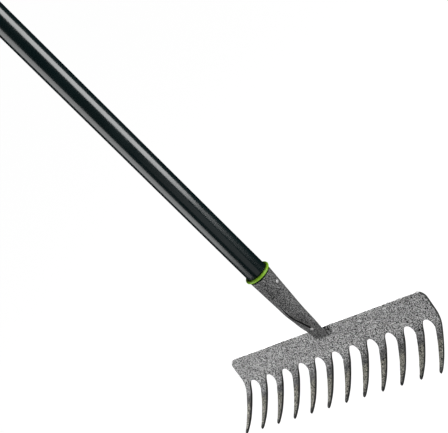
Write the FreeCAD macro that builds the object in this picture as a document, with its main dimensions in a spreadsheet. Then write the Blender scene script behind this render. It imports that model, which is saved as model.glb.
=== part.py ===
import FreeCAD, Part
import math
import os

import Sketcher

# A level-head garden rake, standing upright with its head at the bottom.
# The origin is the middle of the hanging hole, on the handle's axis. +Z runs up the handle,
# X runs along the head, and the tines point forward, to -Y. Lengths are in millimetres.

Vector = FreeCAD.Vector

# Two places closer than this are one, in millimetres
SAME = 1e-3
# Slack for matching an edge by its box, which is a little loose round a curve
BOX_SLACK = 0.1
# Points round one section of the socket
SECTION_POINTS = 28
# Exponent of a section that is a plain circle or ellipse
ROUND = 2

DIMENSIONS = (
    # Where the head, the socket and the handle sit along the axis
    ("head_drop", 1423.0, "hanging hole down to the line of the plate's top edge"),
    ("head_tilt", 12.9, "angle between the plate and the handle's axis, degrees"),
    ("plate_offset", 5.0, "plate's front face to the axis, at the top edge"),
    # Head: a pressed plate whose lower part is cut into tines and bent forward
    ("head_width", 285.0, "plate, end to end"),
    ("sheet_thickness", 3.2, "steel of the plate and the tines"),
    ("flat_height", 25.9, "flat stretch below the top edge"),
    ("bend_radius", 20.2, "front radius of the bend at the root of the tines"),
    ("bend_sweep", 45.2, "turn of that bend, degrees"),
    ("tine_radius", 147.4, "front radius of a tine's gentle curve"),
    ("tine_sweep", 20.0, "turn of that curve, degrees"),
    ("plate_corner", 10.0, "radius of the plate's two top corners"),
    ("tine_pitch", 25.4, "tine to tine"),
    ("tine_count", 12, "number of tines"),
    ("gap_start", 31.4, "top edge down to the top of each gap"),
    ("gap_top_radius", 5.8, "radius of the middle of the gap's arch"),
    ("gap_side_radius", 13.6, "radius of the arch's two sides"),
    ("gap_half_width", 8.25, "half the gap's width where the arch ends"),
    ("knee_depth", 60.3, "top edge down to where a tine starts to taper"),
    ("knee_half_width", 2.95, "half a tine's width there"),
    ("point_depth", 67.2, "top edge down to where a tine's point starts"),
    ("point_half_width", 1.75, "half a tine's width there"),
    ("tip_depth", 70.2, "top edge down to the end of a tine's point"),
    ("end_shoulder_depth", 38.0, "top edge down to where an end tine starts to slim"),
    ("end_knee_half_width", 2.1, "an end tine's outer side at the start of its taper"),
    ("end_point_half_width", 1.6, "an end tine's outer side at the start of its point"),
    # Socket: a rolled cone, eccentric to the axis, pressed flat at its lower end
    ("socket_wall", 1.6, "steel of the socket"),
    ("mouth_height", 94.0, "socket's mouth above the plate's top edge, along the axis"),
    ("mouth_radius", 13.3, "outer radius at the mouth"),
    ("waist_height", 38.0, "where the round cone ends"),
    ("waist_radius", 10.25, "outer radius there"),
    ("waist_offset", 2.0, "centre of the section in front of the axis there"),
    ("press_height", 24.0, "middle of the pressed stretch"),
    ("press_half_width", 11.0, "half the section's width there"),
    ("press_half_depth", 6.3, "half the section's depth there"),
    ("press_offset", 1.65, "centre of the section in front of the axis there"),
    ("press_squareness", 2.3, "exponent of the section's outline there, 2 for an ellipse"),
    ("throat_height", 13.0, "where the walls nearly meet"),
    ("throat_half_width", 11.3, "half the section's width there"),
    ("throat_half_depth", 2.6, "half the section's depth there"),
    ("throat_offset", 1.3, "centre of the section in front of the axis there"),
    ("throat_squareness", 3.0, "exponent of the section's outline there"),
    ("tongue_height", 5.0, "where the flat tongue starts"),
    ("tongue_half_width", 10.2, "half the tongue's width"),
    ("tongue_half_depth", 1.75, "half the tongue's thickness"),
    ("tongue_offset", 0.6, "centre of the tongue in front of the axis there"),
    ("tongue_squareness", 3.4, "exponent of the tongue's outline"),
    ("tongue_end_height", -10.0, "end of the tongue, below the plate's top edge"),
    ("tongue_end_offset", -2.0, "centre of the tongue in front of the axis at its end"),
    ("cavity_inset", 1.76, "outer face of the socket in to its hollow, below the tube"),
    ("slit_start", 58.0, "where the seam starts to gape"),
    ("slit_end", 9.3, "lower end of the seam"),
    ("slit_width", 1.4, "seam's gape at its lower end"),
    ("dimple_radius", 2.2, "radius of the round press mark below the seam"),
    ("dimple_sink", 0.6, "depth of that mark"),
    # Rivet through the socket and the tube
    ("rivet_height", 78.4, "rivet above the plate's top edge, along the axis"),
    ("rivet_shank", 2.4, "radius of the shank"),
    ("rivet_head", 3.3, "radius of a head"),
    ("rivet_dome", 4.6, "radius of a head's dome"),
    ("rivet_rise", 1.4, "height of a head above the socket"),
    # Welds round the tongue
    ("side_weld_radius", 2.6, "radius of a side weld's round bead"),
    ("side_weld_half_length", 5.3, "half its length down the plate"),
    ("side_weld_lift", 0.4, "its middle line off the plate's face"),
    ("side_weld_place", 10.3, "middle of the head to the middle of a side weld"),
    ("side_weld_depth", 5.5, "top edge down to the middle of a side weld"),
    ("end_weld_radius", 2.3, "radius of the end weld's round bead"),
    ("end_weld_half_length", 7.2, "half its length along the head"),
    ("end_weld_lift", -0.3, "its middle line off the plate's face"),
    ("end_weld_depth", 10.3, "top edge down to the middle of the end weld"),
    # Handle: a coated tube with a ring at the socket and a cap at the grip end
    ("handle_radius", 12.25, "outside of the coating"),
    ("tube_wall", 1.2, "steel of the tube"),
    ("swage_height", 62.0, "lower end of the tube, above the plate's top edge"),
    ("ring_height", 97.8, "middle of the ring above the plate's top edge"),
    ("ring_radius", 13.6, "axis to the middle of the ring's bead"),
    ("ring_bead", 1.7, "radius of the ring's bead"),
    ("seat_radius", 11.95, "outside of the coating where the ring sits"),
    ("seat_height", 99.6, "upper end of that seat, above the plate's top edge"),
    ("cap_shoulder", 24.0, "hanging hole down to the cap's shoulder"),
    ("cap_rise", 18.0, "hanging hole up to the top of the cap"),
    ("cap_round", 7.0, "rounding of the cap's top edge"),
    ("cap_shank", 28.0, "length of the cap's shank in the tube"),
    ("cap_rib_depth", 0.5, "height of the grip ribs on the shank"),
    ("cap_rib_width", 1.6, "width of a grip rib"),
    ("cap_rib_count", 6, "number of grip ribs"),
    ("hole_radius", 4.5, "radius of the hanging hole"),
    ("hole_round", 0.9, "rounding of the hanging hole's two edges"),
)

doc = FreeCAD.newDocument("rake")
sheet = doc.addObject("Spreadsheet::Sheet", "dims")
for row, (alias, value, meaning) in enumerate(DIMENSIONS, start=1):
    sheet.set(f"A{row}", meaning)
    sheet.set(f"B{row}", str(value))
    sheet.setAlias(f"B{row}", alias)
doc.recompute()


def size(alias):
    """Read one dimension from the sheet."""
    return float(sheet.get(alias))


# ---------------------------------------------------------------- sketching helpers

def origin_plane(body, role):
    """Find one of a body's own origin planes."""
    for feature in body.Origin.OriginFeatures:
        if feature.Role == role:
            return feature
    raise ValueError(role)


def new_sketch(body, role, name):
    """Start a sketch on an origin plane of the body."""
    sketch = body.newObject("Sketcher::SketchObject", name)
    sketch.AttachmentSupport = (origin_plane(body, role), [""])
    sketch.MapMode = "FlatFace"
    return sketch


def line(sketch, start, end):
    """Add a line between two (x, y) points."""
    return sketch.addGeometry(Part.LineSegment(Vector(*start, 0), Vector(*end, 0)))


def arc(sketch, centre, radius, start_angle, end_angle):
    """Add an arc, anticlockwise from one angle to the other, in radians."""
    circle = Part.Circle(Vector(*centre, 0), Vector(0, 0, 1), radius)
    return sketch.addGeometry(Part.ArcOfCircle(circle, start_angle, end_angle))


def join(sketch, *ends):
    """Make the named ends of pairs of edges coincide."""
    for first, first_end, second, second_end in ends:
        sketch.addConstraint(Sketcher.Constraint("Coincident", first, first_end, second, second_end))


def bind(sketch, name, expression, kind, *where):
    """Add a dimension, at its right value, and drive it from the sheet."""
    value = sketch.evalExpression(expression)
    value = float(getattr(value, "Value", value))
    if kind == "Angle":
        value = math.radians(value)
    index = sketch.addConstraint(Sketcher.Constraint(kind, *where, value))
    sketch.renameConstraint(index, name)
    sketch.setExpression(f"Constraints.{name}", expression)


def bind_point(sketch, name, edge, end, across, along):
    """Place one end of an edge, measured from the sketch's origin."""
    bind(sketch, name + "_across", across, "DistanceX", -1, 1, edge, end)
    bind(sketch, name + "_along", along, "DistanceY", -1, 1, edge, end)


# ---------------------------------------------------------------- frames

TILT = math.radians(size("head_tilt"))

# The head's frame: origin in the middle of the plate's top edge, on its front face;
# x along the head, y up the plate, z off the front face, to the side the tines bend to.
HEAD_FRAME = FreeCAD.Placement(
    Vector(0, size("plate_offset") * math.cos(TILT),
           -size("head_drop") - size("plate_offset") * math.sin(TILT)),
    FreeCAD.Rotation(Vector(1, 0, 0), 90 - size("head_tilt")),
)


def place_on_head(feature):
    """Put a sub-part drawn in the head's frame where the head is."""
    feature.Placement = HEAD_FRAME
    feature.setExpression("Placement.Base.y", "dims.plate_offset * cos(dims.head_tilt * 1deg)")
    feature.setExpression(
        "Placement.Base.z", "-dims.head_drop - dims.plate_offset * sin(dims.head_tilt * 1deg)"
    )
    feature.setExpression("Placement.Rotation.Angle", "(90 - dims.head_tilt) * 1deg")


def place_on_axis(feature):
    """Put a sub-part drawn from the plate's top edge up the handle's axis."""
    feature.Placement = FreeCAD.Placement(Vector(0, 0, -size("head_drop")), FreeCAD.Rotation())
    feature.setExpression("Placement.Base.z", "-dims.head_drop")


# ---------------------------------------------------------------- rake head

def bent_profile(body):
    """Side profile of the sheet: flat plate, root bend and curved tines."""
    sketch = new_sketch(body, "YZ_Plane", "head_profile")
    thickness = size("sheet_thickness")
    bend, tine = size("bend_radius"), size("tine_radius")
    down = math.radians(270)
    first = down - math.radians(size("bend_sweep"))
    last = first - math.radians(size("tine_sweep"))
    bend_centre = Vector(-size("flat_height"), bend, 0)
    turn = Vector(math.cos(first), math.sin(first), 0)
    tine_centre = bend_centre + turn * (bend - tine)
    tip = Vector(math.cos(last), math.sin(last), 0)
    front_tip = tine_centre + tip * tine
    back_tip = tine_centre + tip * (tine + thickness)

    front = line(sketch, (0, 0), (bend_centre.x, 0))
    back = line(sketch, (0, -thickness), (bend_centre.x, -thickness))
    top = line(sketch, (0, 0), (0, -thickness))
    front_bend = arc(sketch, bend_centre[:2], bend, first, down)
    back_bend = arc(sketch, bend_centre[:2], bend + thickness, first, down)
    front_tine = arc(sketch, tine_centre[:2], tine, last, first)
    back_tine = arc(sketch, tine_centre[:2], tine + thickness, last, first)
    end = line(sketch, front_tip[:2], back_tip[:2])
    join(
        sketch,
        (front, 1, -1, 1), (top, 1, front, 1), (top, 2, back, 1),
        (front_bend, 3, back_bend, 3), (front_tine, 3, back_tine, 3),
        (end, 1, front_tine, 1), (end, 2, back_tine, 1),
    )
    sketch.addConstraint(Sketcher.Constraint("Horizontal", front))
    sketch.addConstraint(Sketcher.Constraint("Horizontal", back))
    sketch.addConstraint(Sketcher.Constraint("Vertical", top))
    for flat, root, curve in ((front, front_bend, front_tine), (back, back_bend, back_tine)):
        sketch.addConstraint(Sketcher.Constraint("Tangent", flat, 2, root, 2))
        sketch.addConstraint(Sketcher.Constraint("Tangent", root, 1, curve, 2))
    bind(sketch, "thickness", "dims.sheet_thickness", "DistanceY", back, 1, front, 1)
    bind(sketch, "flat", "dims.flat_height", "DistanceX", front, 2, front, 1)
    bind(sketch, "bend_radius", "dims.bend_radius", "Radius", front_bend)
    bind(sketch, "tine_radius", "dims.tine_radius", "Radius", front_tine)
    bind(sketch, "bend_sweep", "dims.bend_sweep * 1deg", "Angle", front_bend)
    bind(sketch, "tine_sweep", "dims.tine_sweep * 1deg", "Angle", front_tine)
    return sketch


def point_arc(sketch, name, tip, side, half_width_text):
    """One edge of a tine's point: an arc that starts upright and ends at the tip.

    side is +1 where the tine lies to the right of the edge, and -1 to the left.
    """
    half_width = float(sketch.evalExpression(half_width_text))
    length = size("tip_depth") - size("point_depth")
    radius = (half_width ** 2 + length ** 2) / (2 * half_width)
    centre = (tip[0] + side * (radius - half_width), tip[1] + length)
    turn = math.asin(length / radius)
    if side > 0:
        edge, top_end, tip_end = arc(sketch, centre, radius, math.pi, math.pi + turn), 1, 2
    else:
        edge, top_end, tip_end = arc(sketch, centre, radius, -turn, 0), 2, 1
    bind(sketch, name + "_nose", "0", "DistanceY", edge, top_end, edge, 3)
    return edge, top_end, tip_end


def gap_outline(body):
    """The gap between the first two tines: an arch of three arcs, then two tapering flanks."""
    sketch = new_sketch(body, "XY_Plane", "gap_outline")
    middle = -(size("tine_count") - 2) / 2 * size("tine_pitch")
    half_pitch = size("tine_pitch") / 2
    top_radius, side_radius = size("gap_top_radius"), size("gap_side_radius")
    inset = size("gap_half_width") - side_radius
    top_centre = Vector(middle, -size("gap_start") - top_radius, 0)
    spring = top_centre.y - math.sqrt((side_radius - top_radius) ** 2 - inset ** 2)
    haunch = math.atan2(top_centre.y - spring, -inset)
    below = -size("tip_depth") - size("knee_half_width")
    middle_text = "-(dims.tine_count - 2) / 2 * dims.tine_pitch"

    top = arc(sketch, top_centre[:2], top_radius, haunch, math.pi - haunch)
    bind_point(sketch, "arch", top, 3, middle_text, "-dims.gap_start - dims.gap_top_radius")
    bind(sketch, "arch_radius", "dims.gap_top_radius", "Radius", top)
    bottoms = []
    for name, side in (("right", 1), ("left", -1)):
        centre = (middle + side * inset, spring)
        if side > 0:
            haunch_arc = arc(sketch, centre, side_radius, 0, haunch)
            upper, lower, top_end = 2, 1, 1
        else:
            haunch_arc = arc(sketch, centre, side_radius, math.pi - haunch, math.pi)
            upper, lower, top_end = 1, 2, 2
        shoulder = (middle + side * size("gap_half_width"), spring)
        knee = (middle + side * (half_pitch - size("knee_half_width")), -size("knee_depth"))
        point = (middle + side * (half_pitch - size("point_half_width")), -size("point_depth"))
        tip = (middle + side * half_pitch, -size("tip_depth"))
        upper_flank = line(sketch, shoulder, knee)
        lower_flank = line(sketch, knee, point)
        nose, nose_top, nose_tip = point_arc(sketch, name, tip, side, "dims.point_half_width")
        fall = line(sketch, tip, (tip[0], below))
        bottoms.append(fall)
        sketch.addConstraint(Sketcher.Constraint("Tangent", top, top_end, haunch_arc, upper))
        join(
            sketch,
            (haunch_arc, lower, upper_flank, 1), (upper_flank, 2, lower_flank, 1),
            (lower_flank, 2, nose, nose_top), (nose, nose_tip, fall, 1),
        )
        sign = "+" if side > 0 else "-"
        bind(sketch, name + "_radius", "dims.gap_side_radius", "Radius", haunch_arc)
        bind(sketch, name + "_shoulder", f"{middle_text} {sign} dims.gap_half_width",
             "DistanceX", -1, 1, upper_flank, 1)
        bind(sketch, name + "_level", "0", "DistanceY", upper_flank, 1, haunch_arc, 3)
        bind_point(sketch, name + "_knee", lower_flank, 1,
                   f"{middle_text} {sign} (dims.tine_pitch / 2 - dims.knee_half_width)",
                   "-dims.knee_depth")
        bind_point(sketch, name + "_point", nose, nose_top,
                   f"{middle_text} {sign} (dims.tine_pitch / 2 - dims.point_half_width)",
                   "-dims.point_depth")
        bind_point(sketch, name + "_tip", fall, 1, f"{middle_text} {sign} dims.tine_pitch / 2",
                   "-dims.tip_depth")
        sketch.addConstraint(Sketcher.Constraint("Vertical", fall))
    floor = line(sketch, (middle + half_pitch, below), (middle - half_pitch, below))
    join(sketch, (floor, 1, bottoms[0], 2), (floor, 2, bottoms[1], 2))
    bind(sketch, "floor", "-dims.tip_depth - dims.knee_half_width", "DistanceY", -1, 1, floor, 1)
    return sketch


def end_outlines(body):
    """What is cut away outside the two end tines, which are slimmer on their outer side."""
    sketch = new_sketch(body, "XY_Plane", "end_outlines")
    tine = (size("tine_count") - 1) / 2 * size("tine_pitch")
    tine_text = "(dims.tine_count - 1) / 2 * dims.tine_pitch"
    half_head = size("head_width") / 2
    beyond = half_head + size("knee_half_width")
    below = -size("tip_depth") - size("knee_half_width")
    for name, side in (("right", 1), ("left", -1)):
        shoulder = (side * half_head, -size("end_shoulder_depth"))
        knee = (side * (tine + size("end_knee_half_width")), -size("knee_depth"))
        point = (side * (tine + size("end_point_half_width")), -size("point_depth"))
        tip = (side * tine, -size("tip_depth"))
        corners = (tip, (tip[0], below), (side * beyond, below), (side * beyond, shoulder[1]), shoulder)
        upper_flank = line(sketch, shoulder, knee)
        lower_flank = line(sketch, knee, point)
        nose, nose_top, nose_tip = point_arc(sketch, name, tip, -side, "dims.end_point_half_width")
        fall, floor, wall, roof = (line(sketch, *ends) for ends in zip(corners, corners[1:]))
        join(
            sketch,
            (upper_flank, 2, lower_flank, 1), (lower_flank, 2, nose, nose_top),
            (nose, nose_tip, fall, 1), (fall, 2, floor, 1), (floor, 2, wall, 1),
            (wall, 2, roof, 1), (roof, 2, upper_flank, 1),
        )
        sign = "" if side > 0 else "-"
        bind_point(sketch, name + "_shoulder", upper_flank, 1,
                   f"{sign}dims.head_width / 2", "-dims.end_shoulder_depth")
        bind_point(sketch, name + "_knee", lower_flank, 1,
                   f"{sign}({tine_text} + dims.end_knee_half_width)", "-dims.knee_depth")
        bind_point(sketch, name + "_point", nose, nose_top,
                   f"{sign}({tine_text} + dims.end_point_half_width)", "-dims.point_depth")
        bind_point(sketch, name + "_tip", fall, 1, f"{sign}{tine_text}", "-dims.tip_depth")
        bind_point(sketch, name + "_outside", floor, 2,
                   f"{sign}(dims.head_width / 2 + dims.knee_half_width)",
                   "-dims.tip_depth - dims.knee_half_width")
        for upright in (fall, wall):
            sketch.addConstraint(Sketcher.Constraint("Vertical", upright))
        sketch.addConstraint(Sketcher.Constraint("Horizontal", roof))
    return sketch


def cut_through(body, sketch, name):
    """Cut a sketch's outline right through the body, to both sides of its plane."""
    before = body.Shape.Volume
    pocket = body.newObject("PartDesign::Pocket", name)
    pocket.Profile = sketch
    pocket.Type = "ThroughAll"
    pocket.SideType = "Symmetric"
    doc.recompute()
    if body.Shape.Volume >= before:
        raise RuntimeError(f"{name} removes nothing")
    return pocket


def round_edges(body, name, radius_text, wanted):
    """Fillet the edges of the body that the function picks."""
    tip = body.Tip
    picked = [f"Edge{number}" for number, edge in enumerate(tip.Shape.Edges, start=1) if wanted(edge)]
    fillet = body.newObject("PartDesign::Fillet", name)
    fillet.Base = (tip, picked)
    fillet.Radius = float(body.evalExpression(radius_text))
    fillet.setExpression("Radius", radius_text)
    doc.recompute()
    return fillet


def make_rake_head():
    """Pressed head: the bent sheet, its gaps, its slim end tines and its rounded top corners."""
    body = doc.addObject("PartDesign::Body", "rake_head")
    sheet_pad = body.newObject("PartDesign::Pad", "bent_sheet")
    sheet_pad.Profile = bent_profile(body)
    sheet_pad.SideType = "Symmetric"
    sheet_pad.Length = size("head_width")
    sheet_pad.setExpression("Length", "dims.head_width")
    doc.recompute()

    gap = cut_through(body, gap_outline(body), "gap")
    gaps = body.newObject("PartDesign::LinearPattern", "gaps")
    gaps.Originals = [gap]
    gaps.Direction = (origin_plane(body, "X_Axis"), [""])
    gaps.setExpression("Length", "(dims.tine_count - 2) * dims.tine_pitch")
    gaps.setExpression("Occurrences", "dims.tine_count - 1")
    body.Tip = gaps
    doc.recompute()

    cut_through(body, end_outlines(body), "ends")
    half_head = size("head_width") / 2

    def is_corner(edge):
        """Whether the edge is a corner of the plate's top, through the sheet."""
        middle = edge.CenterOfMass
        return abs(abs(middle.x) - half_head) < SAME and abs(middle.y) < SAME

    round_edges(body, "corners", "dims.plate_corner", is_corner)
    place_on_head(body)
    return body


# ---------------------------------------------------------------- socket and tube

def on_axis(height, offset):
    """A point at a height up the axis, and an offset in front of it."""
    return Vector(0, -offset, height)


def cone_section(height):
    """Radius and offset of the socket's round, eccentric cone at a height."""
    share = (size("mouth_height") - height) / (size("mouth_height") - size("waist_height"))
    radius = size("mouth_radius") + share * (size("waist_radius") - size("mouth_radius"))
    return radius, share * size("waist_offset")


def squashed_ring(height, half_width, half_depth, offset, squareness):
    """Closed smooth wire: a circle or ellipse at squareness 2, boxier above that."""
    points = []
    for step in range(SECTION_POINTS):
        turn = 2 * math.pi * (step + 0.5) / SECTION_POINTS
        across = math.copysign(abs(math.cos(turn)) ** (2 / squareness), math.cos(turn))
        along = math.copysign(abs(math.sin(turn)) ** (2 / squareness), math.sin(turn))
        points.append(on_axis(height, offset) + Vector(half_width * across, half_depth * along, 0))
    curve = Part.BSplineCurve()
    curve.interpolate(points, PeriodicFlag=True)
    return Part.Wire(curve.toShape())


def socket_sections():
    """Outer sections of the socket, top to bottom, as arguments of squashed_ring."""
    mouth, waist = size("mouth_height"), size("waist_height")
    sections = []
    for height in (mouth, (2 * mouth + waist) / 3, (mouth + 2 * waist) / 3, waist):
        radius, offset = cone_section(height)
        sections.append((height, radius, radius, offset, ROUND))
    for name in ("press", "throat", "tongue"):
        sections.append((size(name + "_height"), size(name + "_half_width"), size(name + "_half_depth"),
                         size(name + "_offset"), size(name + "_squareness")))
    sections.append((size("tongue_end_height"), size("tongue_half_width"), size("tongue_half_depth"),
                     size("tongue_end_offset"), size("tongue_squareness")))
    return sections


def swaged_tube(inset):
    """The tube's outer surface, or its bore when inset by the wall, as one solid."""
    mouth, foot = size("mouth_height"), size("swage_height")
    top = size("head_drop") - size("cap_shoulder")
    radius = size("mouth_radius") - size("socket_wall") - inset
    foot_radius, foot_offset = cone_section(foot)
    foot_radius -= size("socket_wall") + inset
    straight = Part.makeCylinder(radius, top - mouth, on_axis(mouth, 0))
    rings = [
        Part.Wire(Part.makeCircle(radius, on_axis(mouth, 0))),
        Part.Wire(Part.makeCircle(foot_radius, on_axis(foot, foot_offset))),
    ]
    return straight.fuse(Part.makeLoft(rings, True, True)).removeSplitter()


def rivet_hole():
    """The straight cross hole for the rivet's shank, along X."""
    offset = cone_section(size("rivet_height"))[1]
    reach = 2 * size("mouth_radius")
    start = on_axis(size("rivet_height"), offset) - Vector(reach / 2, 0, 0)
    return Part.makeCylinder(size("rivet_shank"), reach, start, Vector(1, 0, 0))


def outer_socket():
    """The socket's outside as a full solid."""
    return Part.makeLoft([squashed_ring(*section) for section in socket_sections()], True, False)


def socket_cavity():
    """The hollow below the tube: the outer sections drawn in by a little more than the wall."""
    inset = size("cavity_inset")
    foot = size("swage_height")
    foot_radius, foot_offset = cone_section(foot)
    sections = [(foot, foot_radius, foot_radius, foot_offset, ROUND)]
    sections += [section for section in socket_sections() if size("throat_height") <= section[0] < foot]
    rings = []
    for height, half_width, half_depth, offset, squareness in sections:
        rings.append(squashed_ring(height, half_width - inset, half_depth - inset, offset, squareness))
    return Part.makeLoft(rings, True, False)


def seam_slit():
    """The gaping lower part of the seam, cut through the front wall only."""
    top, bottom = size("slit_start"), size("slit_end")
    half = size("slit_width") / 2
    corners = (
        Vector(0, 0, top), Vector(half, 0, bottom + half),
        Vector(0, 0, bottom), Vector(-half, 0, bottom + half),
    )
    face = Part.Face(Part.makePolygon(corners + corners[:1]))
    face.translate(on_axis(0, size("throat_offset")))
    return face.extrude(Vector(0, -2 * size("mouth_radius"), 0))


def make_socket():
    """Rolled socket: hollow cone, open seam, flat tongue trimmed to lie on the plate."""
    body = outer_socket().cut(socket_cavity()).cut(swaged_tube(0)).cut(seam_slit())
    body = body.cut(rivet_hole())
    tongue_front = size("tongue_offset") + size("tongue_half_depth")
    mark_centre = size("dimple_radius") - size("dimple_sink")
    mark_height = (size("slit_end") + size("tongue_height")) / 2
    body = body.cut(Part.makeSphere(size("dimple_radius"),
                                    on_axis(mark_height, tongue_front + mark_centre)))
    reach = 4 * size("mouth_radius")
    behind = Part.makeBox(reach, reach, reach, Vector(-reach / 2, -reach / 2, -reach))
    behind.Placement = HEAD_FRAME
    behind.translate(Vector(0, 0, size("head_drop")))
    body = body.cut(behind)
    socket = doc.addObject("Part::Feature", "socket")
    socket.Shape = body
    place_on_axis(socket)
    return socket


def make_tube():
    """Steel tube: straight, with its foot swaged to the socket's taper."""
    tube = doc.addObject("Part::Feature", "handle_tube")
    tube.Shape = swaged_tube(0).cut(swaged_tube(size("tube_wall"))).cut(rivet_hole())
    place_on_axis(tube)
    return tube


def make_rivet():
    """Cross rivet: a straight shank with a domed head on each side of the socket."""
    height = size("rivet_height")
    radius, offset = cone_section(height)
    centre = on_axis(height, offset)
    reach = radius + size("rivet_rise")
    inside = radius - size("rivet_rise")
    drilled = outer_socket().cut(rivet_hole())
    shape = Part.makeCylinder(size("rivet_shank"), 2 * radius, centre - Vector(radius, 0, 0),
                              Vector(1, 0, 0))
    for side in (Vector(1, 0, 0), Vector(-1, 0, 0)):
        dome = Part.makeSphere(size("rivet_dome"), centre + side * (reach - size("rivet_dome")))
        post = Part.makeCylinder(size("rivet_head"), reach, centre + side * inside, side)
        shape = shape.fuse(dome.common(post))
    rivet = doc.addObject("Part::Feature", "socket_rivet")
    rivet.Shape = shape.cut(drilled)
    place_on_axis(rivet)
    return rivet


# ---------------------------------------------------------------- welds

def make_lump(name, prefix, across, down, turn):
    """A capsule of weld metal, partly sunk in the plate, before it is trimmed.

    prefix starts the aliases of its sizes. across and down place its middle on the plate,
    as sheet expressions, and turn is the angle from the head's length to its own.
    """
    body = doc.addObject("PartDesign::Body", name + "_lump")
    sketch = new_sketch(body, "XY_Plane", name + "_profile")
    sketch.AttachmentOffset = FreeCAD.Placement(Vector(0, 0, 0), FreeCAD.Rotation(Vector(0, 0, 1), turn))
    sketch.setExpression("AttachmentOffset.Base.x", across)
    sketch.setExpression("AttachmentOffset.Base.y", f"-({down})")
    sketch.setExpression("AttachmentOffset.Base.z", f"dims.{prefix}_lift")
    radius = size(prefix + "_radius")
    half_run = size(prefix + "_half_length") - radius
    run_text = f"dims.{prefix}_half_length - dims.{prefix}_radius"

    core = line(sketch, (-half_run - radius, 0), (half_run + radius, 0))
    crest = line(sketch, (half_run, radius), (-half_run, radius))
    right = arc(sketch, (half_run, 0), radius, 0, math.pi / 2)
    left = arc(sketch, (-half_run, 0), radius, math.pi / 2, math.pi)
    join(sketch, (core, 1, left, 2), (core, 2, right, 1))
    sketch.addConstraint(Sketcher.Constraint("Tangent", right, 2, crest, 1))
    sketch.addConstraint(Sketcher.Constraint("Tangent", crest, 2, left, 1))
    sketch.addConstraint(Sketcher.Constraint("Horizontal", crest))
    bind_point(sketch, "right_centre", right, 3, run_text, "0")
    bind_point(sketch, "left_centre", left, 3, f"-({run_text})", "0")
    bind(sketch, "radius", f"dims.{prefix}_radius", "Radius", right)
    for end in (1, 2):
        sketch.addConstraint(Sketcher.Constraint("PointOnObject", core, end, -1))
    turned = body.newObject("PartDesign::Revolution", name + "_turn")
    turned.Profile = sketch
    turned.ReferenceAxis = (sketch, ["H_Axis"])
    turned.Angle = 360
    place_on_head(body)
    return body


def make_welds(head, socket):
    """The welds along both sides of the tongue and across its end, less what they join."""
    upright = 90
    lumps = {
        "weld_bead_right": ("side_weld", "dims.side_weld_place", "dims.side_weld_depth", upright),
        "weld_bead_left": ("side_weld", "-dims.side_weld_place", "dims.side_weld_depth", upright),
        "weld_bead_end": ("end_weld", "0", "dims.end_weld_depth", 0),
    }
    beads = []
    for name, where in lumps.items():
        on_plate = doc.addObject("Part::Cut", name + "_on_plate")
        on_plate.Base = make_lump(name, *where)
        on_plate.Tool = head
        bead = doc.addObject("Part::Cut", name)
        bead.Base = on_plate
        bead.Tool = socket
        beads.append(bead)
    return beads


# ---------------------------------------------------------------- handle

def make_sleeve():
    """Plastic coating of the tube, from the socket's mouth to the cap's shoulder, thinner at the ring."""
    body = doc.addObject("PartDesign::Body", "handle_sleeve")
    sketch = new_sketch(body, "XZ_Plane", "sleeve_section")
    bore = size("mouth_radius") - size("socket_wall")
    seat, wide = size("seat_radius"), size("handle_radius")
    foot = size("mouth_height") - size("head_drop")
    step = size("seat_height") - size("head_drop")
    top = -size("cap_shoulder")
    corners = ((bore, top), (bore, foot), (seat, foot), (seat, step), (wide, step), (wide, top))
    sides = [line(sketch, *ends) for ends in zip(corners, corners[1:] + corners[:1])]
    inside, base, seat_wall, shoulder, wall, rim = sides
    join(sketch, *((one, 2, other, 1) for one, other in zip(sides, sides[1:] + sides[:1])))
    for upright in (inside, seat_wall, wall):
        sketch.addConstraint(Sketcher.Constraint("Vertical", upright))
    for level in (base, shoulder, rim):
        sketch.addConstraint(Sketcher.Constraint("Horizontal", level))
    bind_point(sketch, "foot", inside, 2, "dims.mouth_radius - dims.socket_wall",
               "dims.mouth_height - dims.head_drop")
    bind_point(sketch, "step", seat_wall, 2, "dims.seat_radius", "dims.seat_height - dims.head_drop")
    bind_point(sketch, "top", wall, 2, "dims.handle_radius", "-dims.cap_shoulder")
    turn = body.newObject("PartDesign::Revolution", "sleeve_turn")
    turn.Profile = sketch
    turn.ReferenceAxis = (sketch, ["V_Axis"])
    turn.Angle = 360
    return body


def make_ring():
    """Round bead of soft plastic in its seat on the coating, just above the socket."""
    body = doc.addObject("PartDesign::Body", "collar_ring")
    sketch = new_sketch(body, "XZ_Plane", "ring_section")
    radius, bead = size("ring_radius"), size("ring_bead")
    seat = radius - size("seat_radius")
    opening = math.acos(seat / bead)
    half_seat = bead * math.sin(opening)
    round_side = arc(sketch, (radius, 0), bead, opening - math.pi, math.pi - opening)
    seat_line = line(sketch, (radius - seat, half_seat), (radius - seat, -half_seat))
    join(sketch, (round_side, 2, seat_line, 1), (round_side, 1, seat_line, 2))
    bind_point(sketch, "bead_centre", round_side, 3, "dims.ring_radius", "0")
    bind(sketch, "bead_radius", "dims.ring_bead", "Radius", round_side)
    bind(sketch, "seat", "dims.seat_radius", "DistanceX", -1, 1, seat_line, 1)
    sketch.addConstraint(Sketcher.Constraint("Vertical", seat_line))
    turn = body.newObject("PartDesign::Revolution", "ring_turn")
    turn.Profile = sketch
    turn.ReferenceAxis = (sketch, ["V_Axis"])
    turn.Angle = 360
    body.setExpression("Placement.Base.z", "dims.ring_height - dims.head_drop")
    return body


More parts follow.
